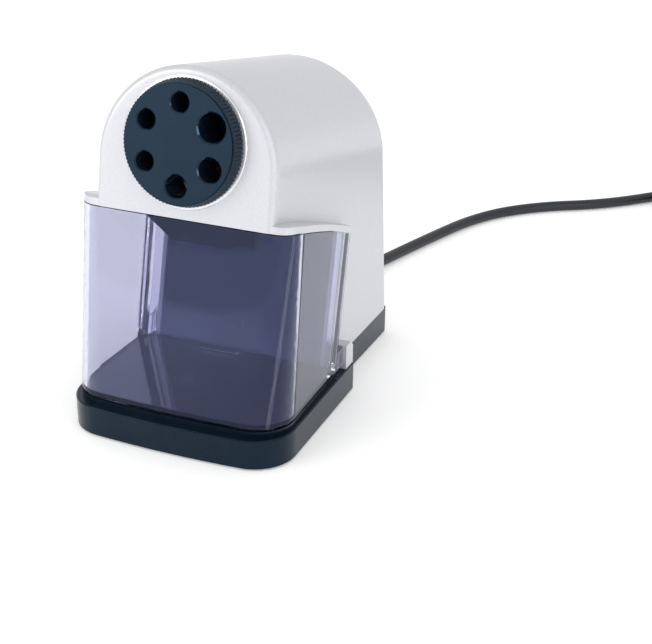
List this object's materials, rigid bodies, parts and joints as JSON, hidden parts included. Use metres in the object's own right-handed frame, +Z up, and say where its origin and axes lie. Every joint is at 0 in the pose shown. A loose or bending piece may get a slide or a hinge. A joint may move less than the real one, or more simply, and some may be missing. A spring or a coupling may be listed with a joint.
{
  "type": "electric pencil sharpener",
  "caption": "Electric desktop pencil sharpener: silver arched body, turning hole selector dial, smoked shavings drawer, driven helical cutter, black base and mains lead",
  "frame": {"origin": "on the surface the sharpener stands on, under the middle of the body", "axes": "+X to the user's right, +Y to the back, where the lead leaves, +Z up"},
  "size_m": [0.2973, 0.4566, 0.1631],
  "materials": {
    "silver_abs": "satin pearl paint",
    "black_abs": "smooth satin",
    "smoke_clear": "polished tinted styrene",
    "dial_black": "fine satin",
    "frame_black": "moulded",
    "rubber": "moulded",
    "steel": "turned",
    "zinc_steel": "zinc plated",
    "bronze": "sintered",
    "white_nylon": "moulded acetal",
    "circuit": "lacquered laminate",
    "cord_pvc": "extruded PVC",
    "nickel": "nickel plated"
  },
  "bodies": {
    "body": {"base_tray": "black_abs", "foot_front_left": "rubber", "foot_front_right": "rubber", "foot_rear_left": "rubber", "foot_rear_right": "rubber", "housing_shell": "silver_abs", "dial_bezel": "silver_abs", "bulkhead": "frame_black", "dial_spindle": "steel", "front_plate": "frame_black", "gear_plate": "frame_black", "frame_pillar_left": "zinc_steel", "frame_pillar_right": "zinc_steel", "frame_pillar_top": "zinc_steel", "front_bush": "bronze", "rear_bush": "bronze", "ring_gear": "white_nylon", "idler_axle": "steel", "motor_can": "zinc_steel", "motor_stator": "steel", "motor_end_cap": "frame_black", "start_lever_pin": "steel", "start_switch": "frame_black", "interlock_switch": "frame_black", "circuit_board": "circuit", "board_relay": "white_nylon", "board_capacitor": "frame_black", "terminal_block": "circuit", "base_screws": "zinc_steel", "frame_screws": "zinc_steel", "motor_screws": "zinc_steel", "strain_relief": "cord_pvc", "power_cord": "cord_pvc", "cord_coil": "cord_pvc", "plug_body": "cord_pvc", "plug_pins": "nickel"},
    "drawer": {"shavings_drawer": "smoke_clear"},
    "dial": {"selector_dial": "dial_black"},
    "carrier": {"cutter_carrier": "white_nylon", "carrier_gear": "white_nylon", "carrier_journal": "steel"},
    "cutter": {"helical_cutter": "steel", "cutter_shaft": "steel", "cutter_pinion": "steel"},
    "idler": {"idler_gear": "white_nylon"},
    "rotor": {"motor_rotor": "steel", "motor_shaft": "steel", "motor_pinion": "steel", "motor_fan": "white_nylon"},
    "start_lever": {"start_lever": "white_nylon"},
    "start_button": {"start_switch_button": "white_nylon"},
    "interlock_plunger": {"interlock_plunger": "white_nylon"}
  },
  "joints": [
    {"name": "drawer_slide", "type": "slide", "parent": "body", "child": "drawer", "axis": [0, -1, 0], "range_m": [0, 0.095]},
    {"name": "dial_turn", "type": "hinge", "parent": "body", "child": "dial", "pos_m": [0, -0.0501, 0.1326], "axis": [0, -0.985, 0.1724], "continuous": true},
    {"name": "carrier_spin", "type": "hinge", "parent": "body", "child": "carrier", "pos_m": [0, -0.01367, 0.10876], "axis": [0, -0.985, 0.1724], "continuous": true},
    {"name": "cutter_spin", "type": "hinge", "parent": "carrier", "child": "cutter", "pos_m": [0, -0.00787, 0.11866], "axis": [0, -0.934, 0.3572], "continuous": true},
    {"name": "idler_spin", "type": "hinge", "parent": "body", "child": "idler", "pos_m": [0.012, 0.01947, 0.12406], "axis": [0, -0.985, 0.1724], "continuous": true},
    {"name": "motor_spin", "type": "hinge", "parent": "body", "child": "rotor", "pos_m": [-0.00002, 0.03698, 0.10809], "axis": [0, -0.985, 0.1724], "continuous": true},
    {"name": "start_lever_press", "type": "hinge", "parent": "body", "child": "start_lever", "pos_m": [0.013, -0.04363, 0.1], "axis": [0, 0.985, -0.1724], "range_deg": [0, 13]},
    {"name": "start_button_press", "type": "slide", "parent": "body", "child": "start_button", "axis": [0, -0.1724, -0.985], "range_m": [0, 0.0024], "stiffness_N_per_m": 60, "springref_m": -0.003},
    {"name": "interlock_press", "type": "slide", "parent": "body", "child": "interlock_plunger", "axis": [0, 1, 0], "range_m": [0, 0.0012], "stiffness_N_per_m": 150, "springref_m": -0.002}
  ],
  "couplings": [
    {"joint": "cutter_spin", "follows": "carrier_spin", "ratio": -3.5},
    {"joint": "idler_spin", "follows": "carrier_spin", "ratio": -4},
    {"joint": "motor_spin", "follows": "carrier_spin", "ratio": 16},
    {"joint": "start_lever_press", "follows": "start_button_press", "rad_per_m": 94.5}
  ]
}
